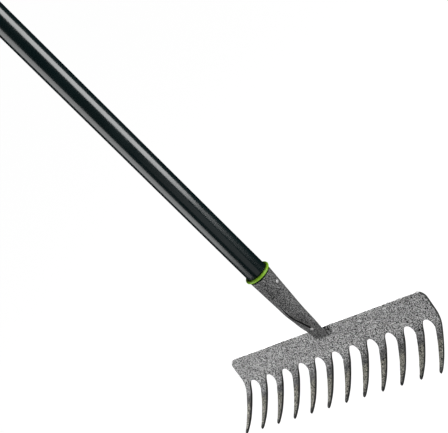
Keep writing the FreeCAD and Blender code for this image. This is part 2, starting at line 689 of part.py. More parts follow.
def make_cap():
    """Grip end cap: a ribbed shank in the tube and a round-topped head with the hanging hole."""
    body = doc.addObject("PartDesign::Body", "end_cap")
    sketch = new_sketch(body, "XZ_Plane", "cap_section")
    wide, top, rounding = size("handle_radius"), size("cap_rise"), size("cap_round")
    shoulder, foot = -size("cap_shoulder"), -size("cap_shoulder") - size("cap_shank")
    slim = size("mouth_radius") - size("socket_wall") - size("tube_wall") - size("cap_rib_depth")
    slim_text = "dims.mouth_radius - dims.socket_wall - dims.tube_wall - dims.cap_rib_depth"
    outline = (
        (0, top), (0, foot), (slim, foot), (slim, shoulder), (wide, shoulder),
        (wide, top - rounding),
    )
    sides = [line(sketch, *ends) for ends in zip(outline, outline[1:])]
    crown = arc(sketch, (wide - rounding, top - rounding), rounding, 0, math.pi / 2)
    lid = line(sketch, (wide - rounding, top), (0, top))
    core, base, shank, step, wall = sides
    join(
        sketch,
        (core, 2, base, 1), (base, 2, shank, 1), (shank, 2, step, 1), (step, 2, wall, 1),
        (lid, 2, core, 1),
    )
    sketch.addConstraint(Sketcher.Constraint("Tangent", wall, 2, crown, 1))
    sketch.addConstraint(Sketcher.Constraint("Tangent", crown, 2, lid, 1))
    sketch.addConstraint(Sketcher.Constraint("PointOnObject", core, 1, -2))
    for upright in (core, shank, wall):
        sketch.addConstraint(Sketcher.Constraint("Vertical", upright))
    for level in (base, step, lid):
        sketch.addConstraint(Sketcher.Constraint("Horizontal", level))
    bind(sketch, "top", "dims.cap_rise", "DistanceY", -1, 1, core, 1)
    bind(sketch, "foot", "-dims.cap_shoulder - dims.cap_shank", "DistanceY", -1, 1, core, 2)
    bind_point(sketch, "neck", step, 1, slim_text, "-dims.cap_shoulder")
    bind(sketch, "outside", "dims.handle_radius", "DistanceX", -1, 1, wall, 1)
    bind(sketch, "rounding", "dims.cap_round", "Radius", crown)
    turn = body.newObject("PartDesign::Revolution", "cap_turn")
    turn.Profile = sketch
    turn.ReferenceAxis = (sketch, ["V_Axis"])
    turn.Angle = 360
    doc.recompute()

    rib = new_sketch(body, "XY_Plane", "rib_section")
    rib.AttachmentOffset = FreeCAD.Placement(Vector(0, 0, foot), FreeCAD.Rotation())
    rib.setExpression("AttachmentOffset.Base.z", "-dims.cap_shoulder - dims.cap_shank")
    half_rib = size("cap_rib_width") / 2
    reach = slim + size("cap_rib_depth")
    flank_reach = math.sqrt(reach ** 2 - half_rib ** 2)
    edge_turn = math.asin(half_rib / reach)
    rib_corners = ((flank_reach, half_rib), (slim / 2, half_rib), (slim / 2, -half_rib),
                   (flank_reach, -half_rib))
    upper, inner, lower = (line(rib, *ends) for ends in zip(rib_corners, rib_corners[1:]))
    outer = arc(rib, (0, 0), reach, -edge_turn, edge_turn)
    join(rib, (upper, 2, inner, 1), (inner, 2, lower, 1), (lower, 2, outer, 1),
         (outer, 2, upper, 1), (outer, 3, -1, 1))
    bind(rib, "reach", slim_text + " + dims.cap_rib_depth", "Radius", outer)
    bind_point(rib, "root", inner, 1, f"({slim_text}) / 2", "dims.cap_rib_width / 2")
    bind_point(rib, "other_root", inner, 2, f"({slim_text}) / 2", "-dims.cap_rib_width / 2")
    for level in (upper, lower):
        rib.addConstraint(Sketcher.Constraint("Horizontal", level))
    doc.recompute()
    rib_pad = body.newObject("PartDesign::Pad", "rib")
    rib_pad.Profile = rib
    rib_pad.setExpression("Length", "dims.cap_shank")
    doc.recompute()
    ribs = body.newObject("PartDesign::PolarPattern", "ribs")
    ribs.Originals = [rib_pad]
    ribs.Axis = (origin_plane(body, "Z_Axis"), [""])
    ribs.Angle = 360
    ribs.setExpression("Occurrences", "dims.cap_rib_count")
    body.Tip = ribs
    doc.recompute()

    hole = new_sketch(body, "XZ_Plane", "hole_section")
    circle = hole.addGeometry(Part.Circle(Vector(0, 0, 0), Vector(0, 0, 1), size("hole_radius")))
    join(hole, (circle, 3, -1, 1))
    bind(hole, "radius", "dims.hole_radius", "Radius", circle)
    cut_through(body, hole, "hanging_hole")

    def is_hole_edge(edge):
        """Whether the edge is one of the hanging hole's two mouths."""
        box = edge.BoundBox
        hole_size = 2 * size("hole_radius")
        return max(abs(box.XLength - hole_size), abs(box.ZLength - hole_size)) < BOX_SLACK

    round_edges(body, "hole_edges", "dims.hole_round", is_hole_edge)
    return body


# ---------------------------------------------------------------- assembly

rake_head = make_rake_head()
socket_part = make_socket()
SUB_PARTS = [rake_head, socket_part, make_rivet(), make_tube(), make_sleeve(), make_ring(), make_cap()]
SUB_PARTS += make_welds(rake_head, socket_part)
for sub_part in SUB_PARTS:
    sub_part.Label = sub_part.Name
doc.recompute()

for item in doc.Objects:
    if "Invalid" in item.State or "Error" in item.State:
        raise RuntimeError(f"{item.Name} failed: {item.State}")
for sub_part in SUB_PARTS:
    if sub_part.Shape.isNull() or not sub_part.Shape.isValid():
        raise RuntimeError(f"{sub_part.Label} has no valid shape")

os.makedirs("parts", exist_ok=True)
for sub_part in SUB_PARTS:
    shape = sub_part.Shape
    print(f"{sub_part.Label}: {len(shape.Solids)} solid, {shape.Volume / 1000:.2f} cm3")
    shape.exportStep(f"parts/{sub_part.Label}.step")
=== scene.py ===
import math
import random

import bmesh
import bpy
import numpy as np
from mathutils import Matrix, Quaternion, Vector, noise
from mathutils.geometry import delaunay_2d_cdt


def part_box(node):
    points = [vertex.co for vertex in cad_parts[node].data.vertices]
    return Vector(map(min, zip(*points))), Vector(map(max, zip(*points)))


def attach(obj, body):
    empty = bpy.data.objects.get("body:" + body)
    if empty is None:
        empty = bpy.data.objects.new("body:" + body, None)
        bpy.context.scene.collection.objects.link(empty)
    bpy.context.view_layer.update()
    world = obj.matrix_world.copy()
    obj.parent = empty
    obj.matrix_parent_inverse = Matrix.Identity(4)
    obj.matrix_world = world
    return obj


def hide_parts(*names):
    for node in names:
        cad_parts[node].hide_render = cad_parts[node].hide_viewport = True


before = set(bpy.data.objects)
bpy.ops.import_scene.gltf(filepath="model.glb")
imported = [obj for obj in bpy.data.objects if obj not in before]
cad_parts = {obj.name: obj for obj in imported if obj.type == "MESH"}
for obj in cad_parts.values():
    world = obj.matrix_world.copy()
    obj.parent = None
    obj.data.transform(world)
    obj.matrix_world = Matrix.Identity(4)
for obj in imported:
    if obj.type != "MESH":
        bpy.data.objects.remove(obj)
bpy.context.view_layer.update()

# A level-head garden rake, in metres, in the row frame: the origin is the hanging hole, +Z runs up
# the handle, X along the head, and the tines point to -Y.

MM = 0.001
X_AXIS = Vector((1, 0, 0))
Z_AXIS = Vector((0, 0, 1))

# ---------------------------------------------------------------- places taken from the frame

HEAD_LOW, HEAD_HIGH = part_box("rake_head")
SLEEVE_LOW, SLEEVE_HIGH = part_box("handle_sleeve")

HALF_HEAD = HEAD_HIGH.x
HANDLE_RADIUS = SLEEVE_HIGH.x
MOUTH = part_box("socket")[1].z

# The head is a bent sheet, tilted to the handle's axis. Its own frame: x along the head, DOWN the
# plate, and OFF its front face, to the side that the tines bend to.
SHEET = 3.2 * MM
TILT = math.radians(12.9)
DOWN = Vector((0, -math.sin(TILT), -math.cos(TILT)))
OFF = Vector((0, -math.cos(TILT), math.sin(TILT)))
HEAD_ORIGIN = Vector((0, HEAD_HIGH.y - SHEET * math.cos(TILT), HEAD_HIGH.z))
# The socket's length above the plate's top edge, in millimetres, and that edge's height on the axis
SOCKET_LENGTH = 94.0
EDGE_LEVEL = MOUTH - SOCKET_LENGTH * MM

# ---------------------------------------------------------------- mesh helpers


def new_piece(name, points, faces, material, slot, node, **attributes):
    """A smooth closed mesh that rides on the root body and stands for a CAD node.

    Each attribute gives every point a number that the material reads.
    """
    mesh = bpy.data.meshes.new(name)
    mesh.from_pydata([tuple(p) for p in points], [], faces)
    for key, values in attributes.items():
        mesh.attributes.new(key, "FLOAT", "POINT").data.foreach_set("value", values)
    work = bmesh.new()
    work.from_mesh(mesh)
    bmesh.ops.remove_doubles(work, verts=work.verts, dist=1e-6)
    bmesh.ops.recalc_face_normals(work, faces=work.faces)
    work.to_mesh(mesh)
    work.free()
    mesh.polygons.foreach_set("use_smooth", [True] * len(mesh.polygons))
    mesh.materials.append(material)
    piece = bpy.data.objects.new(name, mesh)
    bpy.context.scene.collection.objects.link(piece)
    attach(piece, "root")
    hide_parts(node)
    return piece


def grid_faces(rows, columns, ring):
    """Quads of a grid of points in rows, each row closed when ring is set."""
    faces = []
    for row in range(rows - 1):
        for column in range(columns if ring else columns - 1):
            following = (column + 1) % columns
            a, b = row * columns + column, row * columns + following
            faces.append((a, b, b + columns, a + columns))
    return faces


def lathe(profile, segments, place, radius_scale=None):
    """Turn a closed profile of (radius, height) points round the Z axis.

    radius_scale(turn, height) can vary the radius a little.
    """
    points = []
    for radius, height in profile:
        for step in range(segments):
            turn = 2 * math.pi * step / segments
            size = radius * (radius_scale(turn, height) if radius_scale else 1)
            points.append(place + Vector((size * math.cos(turn), size * math.sin(turn), height)))
    faces = grid_faces(len(profile), segments, True)
    last = (len(profile) - 1) * segments
    for step in range(segments):
        following = (step + 1) % segments
        faces.append((last + step, last + following, following, step))
    return points, faces


# ---------------------------------------------------------------- materials


class Nodes:
    """A Principled material and short calls for its nodes."""

    def __init__(self, name, roughness, metallic=0.0, ior=1.5):
        self.material = bpy.data.materials.new(name)
        self.material.use_nodes = True
        self.tree = self.material.node_tree
        self.shader = self.tree.nodes["Principled BSDF"]
        self.shader.inputs["Roughness"].default_value = roughness
        self.shader.inputs["Metallic"].default_value = metallic
        self.shader.inputs["IOR"].default_value = ior
        self.place = self.tree.nodes.new("ShaderNodeTexCoord").outputs["Object"]

    def link(self, value, socket):
        if isinstance(value, bpy.types.NodeSocket):
            self.tree.links.new(value, socket)
        else:
            socket.default_value = value

    def stretched(self, scale):
        """The object's own coordinates, stretched."""
        mapping = self.tree.nodes.new("ShaderNodeMapping")
        self.tree.links.new(self.place, mapping.inputs["Vector"])
        mapping.inputs["Scale"].default_value = scale
        return mapping.outputs["Vector"]

    def noise(self, scale, detail=2.0, roughness=0.5, distortion=0.0, vector=None):
        node = self.tree.nodes.new("ShaderNodeTexNoise")
        self.tree.links.new(vector or self.place, node.inputs["Vector"])
        node.inputs["Scale"].default_value = scale
        node.inputs["Detail"].default_value = detail
        node.inputs["Roughness"].default_value = roughness
        node.inputs["Distortion"].default_value = distortion
        return node.outputs["Fac"]

    def math(self, operation, first, second=0.0):
        node = self.tree.nodes.new("ShaderNodeMath")
        node.operation = operation
        self.link(first, node.inputs[0])
        self.link(second, node.inputs[1])
        return node.outputs[0]

    def spread(self, value, low, high, to_low=0.0, to_high=1.0):
        """Map a value smoothly from one range to another, and clamp it."""
        node = self.tree.nodes.new("ShaderNodeMapRange")
        node.interpolation_type = "SMOOTHSTEP"
        self.link(value, node.inputs["Value"])
        limits = {"From Min": low, "From Max": high, "To Min": to_low, "To Max": to_high}
        for socket, limit in limits.items():
            node.inputs[socket].default_value = limit
        return node.outputs["Result"]

    def mix(self, share, first, second, blend="MIX"):
        """Mix two colours."""
        node = self.tree.nodes.new("ShaderNodeMix")
        node.data_type = "RGBA"
        node.blend_type = blend
        self.link(share, node.inputs["Factor"])
        self.link(first, node.inputs["A"])
        self.link(second, node.inputs["B"])
        return node.outputs["Result"]

    def ramp(self, value, *stops):
        """Colour ramp of (position, colour) stops."""
        node = self.tree.nodes.new("ShaderNodeValToRGB")
        self.link(value, node.inputs["Fac"])
        elements = node.color_ramp.elements
        while len(elements) < len(stops):
            elements.new(0.5)
        for element, (position, colour) in zip(elements, stops):
            element.position = position
            element.color = colour
        return node.outputs["Color"]

    def attribute(self, name):
        node = self.tree.nodes.new("ShaderNodeAttribute")
        node.attribute_name = name
        return node.outputs["Fac"]

    def finish(self, colour=None, roughness=None, height=None, depth=1e-4, strength=1.0):
        """Join what varies over the surface to the shader."""
        if colour is not None:
            self.link(colour, self.shader.inputs["Base Color"])
        if roughness is not None:
            self.link(roughness, self.shader.inputs["Roughness"])
        if height is not None:
            bump = self.tree.nodes.new("ShaderNodeBump")
            bump.inputs["Strength"].default_value = strength
            bump.inputs["Distance"].default_value = depth
            self.link(height, bump.inputs["Height"])
            self.link(bump.outputs["Normal"], self.shader.inputs["Normal"])
        return self.material


def grey(level, tint=(1, 1, 1)):
    """A near-neutral colour."""
    return tuple(level * share for share in tint) + (1,)


def hammertone(name, dark, light, tines=False):
    """Hammered paint: fine pale flecks of metal flake between dark veins.

    The pieces that use it say in their "wall" attribute where shade is painted near black, on the sheet's
    edges and inside the socket, and in "worn" where a highlight is painted pale. With tines, the "down"
    attribute is the share of the head's depth, and painted shade darkens the tines where they start and at
    their tips, with a lighter band between.
    """
    nodes = Nodes(name, 0.45, metallic=0.3)
    veins = nodes.math("ABSOLUTE", nodes.math("SUBTRACT", nodes.noise(520, 1.0, 0.5, 0.6), 0.5))
    fine = nodes.spread(nodes.noise(1150, 0.5), 0.45, 0.55)
    flecks = nodes.math("MULTIPLY", nodes.spread(veins, 0.0, 0.05, 0.45), fine)
    colour = nodes.mix(flecks, grey(dark, (1.0, 1.0, 1.02)), grey(light))
    drift = nodes.ramp(nodes.noise(38, 3.0), (0.35, grey(0.84)), (0.65, grey(1.0)))
    colour = nodes.mix(1.0, colour, drift, "MULTIPLY")
    if tines:
        # Painted shade: by depth down the head, the tines are darkened where they start and at their tips,
        # with a lighter band between.
        down = nodes.attribute("down")
        wobble = nodes.math("MULTIPLY", nodes.math("SUBTRACT", nodes.noise(150, 2.0), 0.5), 0.12)
        down = nodes.math("ADD", down, wobble)
        shade = nodes.ramp(
            down,
            (0.6, grey(1.0)), (0.655, grey(0.5)), (0.7, grey(0.36)), (0.75, grey(0.8, (1.03, 1.0, 0.84))),
            (0.94, grey(0.9, (1.02, 1.0, 0.88))), (0.985, grey(0.15)),
        )
        colour = nodes.mix(1.0, colour, shade, "MULTIPLY")
    # Painted shade: where "wall" is set, the paint is mixed to near black, on the sheet's cut edges and
    # inside the socket.
    colour = nodes.mix(nodes.attribute("wall"), colour, grey(0.025, (0.95, 1.0, 0.95)))
    # Painted highlight: where set, the paint is mixed towards pale grey, along the plate's top edge and at
    # the socket's press mark.
    colour = nodes.mix(nodes.attribute("worn"), colour, grey(0.8))
    rough = nodes.spread(flecks, 0.0, 1.0, 0.6, 0.4)
    return nodes.finish(colour, rough, flecks, 1.6e-4)


def glossy_coating():
    """Smooth dark coating of the handle, with a trace of orange peel."""
    nodes = Nodes("coating_dark_green", 0.2, ior=1.7)
    drift = nodes.noise(14, 3.0)
    colour = nodes.ramp(drift, (0.3, (0.0016, 0.005, 0.0056, 1)), (0.7, (0.0028, 0.0075, 0.0084, 1)))
    peel = nodes.noise(240, 2.0)
    rough = nodes.spread(nodes.noise(30, 4.0), 0.3, 0.7, 0.17, 0.23)
    return nodes.finish(colour, rough, peel, 3e-5, 0.5)


def lime_plastic():
    """Glossy moulded plastic of the ring."""
    nodes = Nodes("lime_plastic", 0.3)
    nodes.shader.inputs["Specular IOR Level"].default_value = 0.25
    drift = nodes.noise(160, 3.0)
    colour = nodes.ramp(drift, (0.3, (0.16, 0.32, 0.02, 1)), (0.7, (0.22, 0.42, 0.03, 1)))
    rough = nodes.spread(nodes.noise(420, 2.0), 0.3, 0.7, 0.24, 0.36)
    return nodes.finish(colour, rough, nodes.noise(700, 2.0), 4e-5, 0.4)


def moulded_plastic():
    """Fine-grained black plastic of the cap."""
    nodes = Nodes("cap_black_plastic", 0.5)
    grain = nodes.noise(1400, 2.0, 0.6)
    colour = nodes.ramp(nodes.noise(45, 3.0), (0.3, (0.012, 0.013, 0.014, 1)), (0.7, (0.02, 0.021, 0.022, 1)))
    rough = nodes.spread(grain, 0.3, 0.7, 0.42, 0.6)
    return nodes.finish(colour, rough, grain, 6e-5, 0.6)


def bare_steel(name, light, streak_scale, smooth=0.26, rough=0.44):
    """Drawn or rolled steel with fine streaks along it."""
    nodes = Nodes(name, 0.35, metallic=1.0)
    streaks = nodes.noise(1.0, 3.0, vector=nodes.stretched(streak_scale))
    colour = nodes.ramp(streaks, (0.3, grey(light * 0.75)), (0.7, grey(light)))
    roughness = nodes.spread(streaks, 0.3, 0.7, smooth, rough)
    return nodes.finish(colour, roughness, streaks, 2e-5, 0.5)


# ---------------------------------------------------------------- rake head

PITCH = 25.4 * MM
TINES = 12
# Seen from the side, the plate is flat, then bends, then the tines curve on more gently
FLAT = 25.9 * MM
BEND_RADIUS = 20.2 * MM
BEND_SWEEP = math.radians(45.2)
TINE_RADIUS = 147.4 * MM
BEND_END = FLAT + BEND_RADIUS * math.sin(BEND_SWEEP)
BEND_RISE = BEND_RADIUS * (1 - math.cos(BEND_SWEEP))
PLATE_CORNER = 10 * MM
# A gap is an arch between two haunches. A tine narrows to its knee and its point. All depths are
# below the top edge, and each half width goes with the depth beside it
GAP_TOP = 31.4 * MM
ARCH_RADIUS = 5.8 * MM
HAUNCH_RADIUS = 13.6 * MM
GAP_HALF = 8.25 * MM
KNEE, KNEE_HALF = 60.3 * MM, 2.95 * MM
POINT, POINT_HALF = 67.0 * MM, 1.8 * MM
TIP = 69.3 * MM
END_SHOULDER = 38 * MM
END_KNEE_HALF, END_POINT_HALF = 2.1 * MM, 1.6 * MM
FRONT_ROUND, BACK_ROUND = 0.5 * MM, 0.35 * MM
# Share of its thickness that a tine has lost at its tip
TIP_THINNING = 0.34
OUTLINE_STEP, POINT_STEP, FILL_STEP = 1.3 * MM, 0.6 * MM, 1.9 * MM
# The outline's edge gets a painted highlight down to this depth, and painted shade below it
TOP_EDGE = 1.5 * MM
TOP_EDGE_HIGHLIGHT = 0.8
# Loops at each end of the edge's rounding that keep the paint of the faces, without the edge's painted shade
# or highlight
PAINTED_LOOPS = 3

# At its top each arch leans sideways, and its back edge is broken away
ARCH_LEAN, ARCH_BREAK = -1.6 * MM, 0.9 * MM
# Filling this near to the middle of an arch's top is left out
ARCH_CLEAR = 3 * MM

HAUNCH_INSET = GAP_HALF - HAUNCH_RADIUS
SPRING = GAP_TOP + ARCH_RADIUS + math.sqrt((HAUNCH_RADIUS - ARCH_RADIUS) ** 2 - HAUNCH_INSET ** 2)
HAUNCH_ANGLE = math.atan2(SPRING - GAP_TOP - ARCH_RADIUS, -HAUNCH_INSET)


def arch_share(down):
    """1 at the top of an arch, fading to 0 where its sides start, and 0 above it."""
    if down < GAP_TOP - 0.1 * MM or down > SPRING:
        return 0.0
    return 0.5 + 0.5 * math.cos(math.pi * (down - GAP_TOP) / (SPRING - GAP_TOP))


def sheet_slope(down):
    """The sheet's turn away from the plate at a depth below the top edge, and its rise."""
    if down <= FLAT:
        return 0.0, 0.0
    if down <= BEND_END:
        slope = math.asin((down - FLAT) / BEND_RADIUS)
        return slope, BEND_RADIUS * (1 - math.cos(slope))
    slope = math.asin(math.sin(BEND_SWEEP) + (down - BEND_END) / TINE_RADIUS)
    return slope, BEND_RISE + TINE_RADIUS * (math.cos(BEND_SWEEP) - math.cos(slope))


def on_sheet(x, down, depth):
    """A point of the bent sheet: along the head, down its front face, and into its thickness."""
    slope, rise = sheet_slope(down)
    normal = OFF * math.cos(slope) - DOWN * math.sin(slope)
    return HEAD_ORIGIN + X_AXIS * x + DOWN * down + OFF * rise - normal * depth


def run(start, end, step=OUTLINE_STEP):
    """Points from start up to, but without, the end."""
    (x0, y0), (x1, y1) = start, end
    count = max(1, math.ceil(math.hypot(x1 - x0, y1 - y0) / step))
    return [(x0 + (x1 - x0) * i / count, y0 + (y1 - y0) * i / count) for i in range(count)]


def arc(centre, radius, start, end, step=OUTLINE_STEP, flat=1.0):
    """Points of an arc up to, but without, its end, angles from +x towards the tips."""
    count = max(3, math.ceil(abs(end - start) * radius / step))
    turns = (start + (end - start) * i / count for i in range(count))
    return [(centre[0] + radius * flat * math.cos(t), centre[1] + radius * math.sin(t)) for t in turns]


def gap_side():
    """Right side of a gap, from a tine's point up to the top of the arch, about the gap's middle."""
    half = PITCH / 2
    knee = (half - KNEE_HALF, KNEE)
    side = run((half - POINT_HALF, POINT), knee) + run(knee, (GAP_HALF, SPRING))
    side += arc((HAUNCH_INSET, SPRING), HAUNCH_RADIUS, 0, -HAUNCH_ANGLE)
    side += arc((0, GAP_TOP + ARCH_RADIUS), ARCH_RADIUS, -HAUNCH_ANGLE, -math.pi / 2)
    return side


def tine_point(middle, right, left):
    """A tine's rounded point, from its right side to its left."""
    length = TIP - POINT
    points = []
    for start, end, half in ((0, math.pi / 2, right), (math.pi / 2, math.pi, left)):
        points += arc((middle, POINT), length, start, end, POINT_STEP, half / length)
    return points


def head_outline():
    """The whole flat outline of the head, as (x, down) points."""
    corner = HALF_HEAD - PLATE_CORNER
    end_tine = (TINES - 1) / 2 * PITCH
    outer = [
        (HALF_HEAD, PLATE_CORNER), (HALF_HEAD, END_SHOULDER), (end_tine + END_KNEE_HALF, KNEE),
        (end_tine + END_POINT_HALF, POINT),
    ]
    right = arc((corner, PLATE_CORNER), PLATE_CORNER, -math.pi / 2, 0)
    for start, end in zip(outer, outer[1:]):
        right += run(start, end)
    right.append(outer[-1])
    side = gap_side()
    points = run((-corner, 0), (corner, 0)) + right[:-1]
    for tine in reversed(range(TINES)):
        middle = (tine - (TINES - 1) / 2) * PITCH
        halves = [POINT_HALF, POINT_HALF]
        if tine == TINES - 1:
            halves[0] = END_POINT_HALF
        if tine == 0:
            halves[1] = END_POINT_HALF
        points += tine_point(middle, *halves)
        if tine:
            gap = middle - PITCH / 2
            arch = side + [(0, GAP_TOP)] + [(-x, down) for x, down in reversed(side[1:])]
            points += [(gap + x + ARCH_LEAN * arch_share(down), down) for x, down in arch]
    points += [(-x, down) for x, down in reversed(right[1:])]
    return points


def gap_half_width(down):
    """Half the width of a gap at a depth, or nothing above its arch."""
    if down <= GAP_TOP:
        return 0.0
    arch_middle = GAP_TOP + ARCH_RADIUS
    if down < arch_middle - ARCH_RADIUS * math.sin(HAUNCH_ANGLE):
        return math.sqrt(ARCH_RADIUS ** 2 - (arch_middle - down) ** 2)
    if down < SPRING:
        return HAUNCH_INSET + math.sqrt(HAUNCH_RADIUS ** 2 - (SPRING - down) ** 2)
    half = PITCH / 2
    return float(np.interp(down, [SPRING, KNEE, POINT], [GAP_HALF, half - KNEE_HALF, half - POINT_HALF]))


def head_filling():
    """Points inside the outline, in rows, a little clear of it."""
    points = []
    margin = 0.8 * FILL_STEP
    rows = math.floor((POINT - margin) / FILL_STEP)
    for row in range(rows):
        down = margin + row * FILL_STEP
        shift = (row % 2) * 0.5
        half_gap = gap_half_width(down)
        if half_gap == 0:
            inset = margin + max(0.0, PLATE_CORNER - down) * 0.6
            reach = HALF_HEAD - inset
            near_arch = down > GAP_TOP - margin
            count = math.floor(2 * reach / FILL_STEP)
            for column in range(count):
                x = -reach + (column + shift) * FILL_STEP
                to_gap = abs(((x - ARCH_LEAN) / PITCH + 0.5) % 1 - 0.5) * PITCH
                if not (near_arch and to_gap < ARCH_CLEAR):
                    points.append((x, down))
            continue
        for tine in range(TINES):
            middle = (tine - (TINES - 1) / 2) * PITCH
            half = PITCH / 2 - half_gap - margin
            lean = ARCH_LEAN * arch_share(down)
            low, high = middle + lean - half, middle + lean + half
            if tine == TINES - 1:
                high = min(high, HALF_HEAD - margin)
            if tine == 0:
                low = max(low, margin - HALF_HEAD)
            if high <= low:
                points.append((middle, down))
                continue
            count = max(1, round((high - low) / FILL_STEP))
            for column in range(count + 1):
                points.append((low + (high - low) * column / count, down))
    return points


def drawn_in(outline, distance):
    """The outline moved inwards, by one distance or by one for each of its points."""
    points = np.array(outline)
    ahead = np.roll(points, -1, axis=0) - points
    behind = points - np.roll(points, 1, axis=0)
    along = ahead / np.linalg.norm(ahead, axis=1)[:, None]
    along += behind / np.linalg.norm(behind, axis=1)[:, None]
    along /= np.linalg.norm(along, axis=1)[:, None]
    inward = np.stack([-along[:, 1], along[:, 0]], axis=1)
    return points + inward * np.reshape(distance, (-1, 1))


def make_head():
    """The head: a bent sheet with rounded edges, its front and back meshed between the rims."""
    outline = head_outline()
    filling = head_filling()
    count = len(outline)
    loops = []
    turns = [math.radians(angle) for angle in (0, 22, 45, 68, 90)]
    for turn in turns:
        loops.append((FRONT_ROUND * (1 - math.sin(turn)), FRONT_ROUND * (1 - math.cos(turn))))
    for turn in reversed(turns):
        loops.append((BACK_ROUND * (1 - math.sin(turn)), SHEET - BACK_ROUND * (1 - math.cos(turn))))
    end_tine = (TINES - 1) / 2 * PITCH
    broken = [ARCH_BREAK * arch_share(down) * (abs(x) < end_tine) for x, down in outline]
    flat, depths, painted_shade_marks, worn = [], [], [], []
    for number, (inset, depth) in enumerate(loops):
        if depth > SHEET / 2:
            inset = inset + np.array(broken)
        flat += [tuple(p) for p in drawn_in(outline, inset)]
        depths += [depth] * count
        edge = PAINTED_LOOPS <= number < len(loops) - PAINTED_LOOPS
        # Painted shade: the edge is painted near black below the top edge.
        painted_shade_marks += [1.0 if edge and down > TOP_EDGE else 0.0 for _, down in outline]
        # Painted highlight: the top edge is painted pale.
        worn += [TOP_EDGE_HIGHLIGHT if edge and down <= TOP_EDGE else 0.0 for _, down in outline]
    faces = grid_faces(len(loops), count, True)

    rim = [Vector(p) for p in drawn_in(outline, FRONT_ROUND)]
    cut = delaunay_2d_cdt(rim + [Vector(p) for p in filling], [], [list(range(count))], 1, 1e-7)
    triangles, sources = cut[2], cut[3]
    front_start = len(flat)
    flat += filling
    depths += [0.0] * len(filling)
    back_start = len(flat)
    flat += filling
    depths += [SHEET] * len(filling)
    painted_shade_marks += [0.0] * (2 * len(filling))
    worn += [0.0] * (2 * len(filling))
    last_rim = (len(loops) - 1) * count
    for triangle in triangles:
        origins = [sources[corner][0] for corner in triangle]
        faces.append([o if o < count else front_start + o - count for o in origins])
        faces.append([last_rim + o if o < count else back_start + o - count for o in reversed(origins)])

    points = []
    for (x, down), depth in zip(flat, depths):
        thin = max(0.0, (down - KNEE) / (TIP - KNEE)) ** 2
        points.append(on_sheet(x, down, depth * (1 - TIP_THINNING * thin)))
    down_values = [min(max(down, 0.0), TIP) / TIP for _, down in flat]
    return new_piece("rake_head_steel", points, faces, hammertone("head_hammertone", 0.006, 0.68, True),
                     "head_paint", "rake_head", down=down_values, wall=painted_shade_marks, worn=worn)


# ---------------------------------------------------------------- socket

WALL = 1.6 * MM
# Round press mark below the seam, by its height above the plate's top edge
MARK_HEIGHT, MARK_RADIUS, MARK_DEPTH = 7.0 * MM, 1.4 * MM, 0.4 * MM
# The first two rings at the mouth, drawn in for its rounded lip
LIP_SHARES = (0.97, 0.99)
# Height above the plate's top edge, half width, half depth, offset in front of the axis, and the
# exponent of the outline, 2 for an ellipse
SECTIONS = (
    (SOCKET_LENGTH, 13.3, 13.3, 0.0, 2.0),
    (75.33, 12.28, 12.28, 0.67, 2.0),
    (56.67, 11.27, 11.27, 1.33, 2.0),
    (38.0, 10.25, 10.25, 2.0, 2.0),
    (24.0, 11.0, 6.3, 1.65, 2.3),
    (13.0, 11.3, 2.6, 1.3, 3.0),
    (5.0, 10.2, 1.75, 0.6, 3.4),
    (-10.0, 10.2, 1.75, -2.0, 3.4),
)
# The open seam, in millimetres, from the height where it starts to gape down to its rounded end
SLIT_START, SLIT_END, SLIT_WIDTH = 60.0, 8.4, 2.6


def section_at(height):
    """The socket's section at a height in millimetres, on a smooth curve through SECTIONS."""
    table = np.array(SECTIONS)[::-1]
    heights, values = table[:, 0], table[:, 1:]
    slopes = np.gradient(values, heights, axis=0)
    index = int(np.clip(np.searchsorted(heights, height) - 1, 0, len(heights) - 2))
    span = heights[index + 1] - heights[index]
    t = (height - heights[index]) / span
    blend = (2 * t ** 3 - 3 * t ** 2 + 1, t ** 3 - 2 * t ** 2 + t, 3 * t ** 2 - 2 * t ** 3, t ** 3 - t ** 2)
    return (blend[0] * values[index] + blend[1] * span * slopes[index]
            + blend[2] * values[index + 1] + blend[3] * span * slopes[index + 1])


def slit_gape(height):
    """Width of the open seam at a height, in millimetres."""
    if height >= SLIT_START or height <= SLIT_END:
        return 0.0
    gape = SLIT_WIDTH * ((SLIT_START - height) / (SLIT_START - SLIT_END)) ** 0.5
    close = min(1.0, (height - SLIT_END) / (0.9 * SLIT_WIDTH))
    return gape * math.sqrt(1 - (1 - close) ** 2)


def socket_ring(height, columns):
    """One closed ring of the rolled wall: outside, left seam edge, inside, right seam edge."""
    half_width, half_depth, offset, squareness = section_at(height)
    turns = np.radians(np.linspace(-90, 270, 721))
    power = 2 / squareness
    across = np.sign(np.cos(turns)) * np.abs(np.cos(turns)) ** power
    along = np.sign(np.sin(turns)) * np.abs(np.sin(turns)) ** power
    across[[0, -1]] = 0
    gape = slit_gape(height) / 2
    rolled = float(np.interp(height, [SLIT_END - 3, SLIT_END + 2, 40, SLIT_START], [0.05, 0.5, 0.35, 0.08]))
    line = np.stack([across * half_width, along * half_depth], axis=1)
    lengths = np.concatenate([[0], np.cumsum(np.linalg.norm(np.diff(line, axis=0), axis=1))])
    start = gape + rolled
    stops = np.linspace(start, lengths[-1] - start, columns)
    outer = np.stack([np.interp(stops, lengths, line[:, axis]) for axis in (0, 1)], axis=1)
    wall = min(WALL / MM, 0.9 * half_depth)
    inner = outer * np.array([(half_width - wall) / half_width, (half_depth - wall) / half_depth])
    front = -half_depth
    edge = []
    for angle in (30, 60, 90):
        turn = math.radians(angle)
        edge.append((gape + rolled * (1 - math.sin(turn)), front + rolled * (1 - math.cos(turn))))
    edge.append((gape, front + max(wall - 0.15, rolled)))
    ring = [tuple(p) for p in outer] + [(-x, y) for x, y in edge]
    ring += [tuple(p) for p in inner[::-1]] + edge[::-1]
    return [(x, y - offset) for x, y in ring]


def rest_on_plate(point, sink=0.4 * MM):
    """Keep a point of the socket from going deeper than a little into the plate's front face."""
    local = point - HEAD_ORIGIN
    if local.dot(DOWN) > 0 and local.dot(OFF) < -sink:
        point = point - OFF * (local.dot(OFF) + sink)
    return point


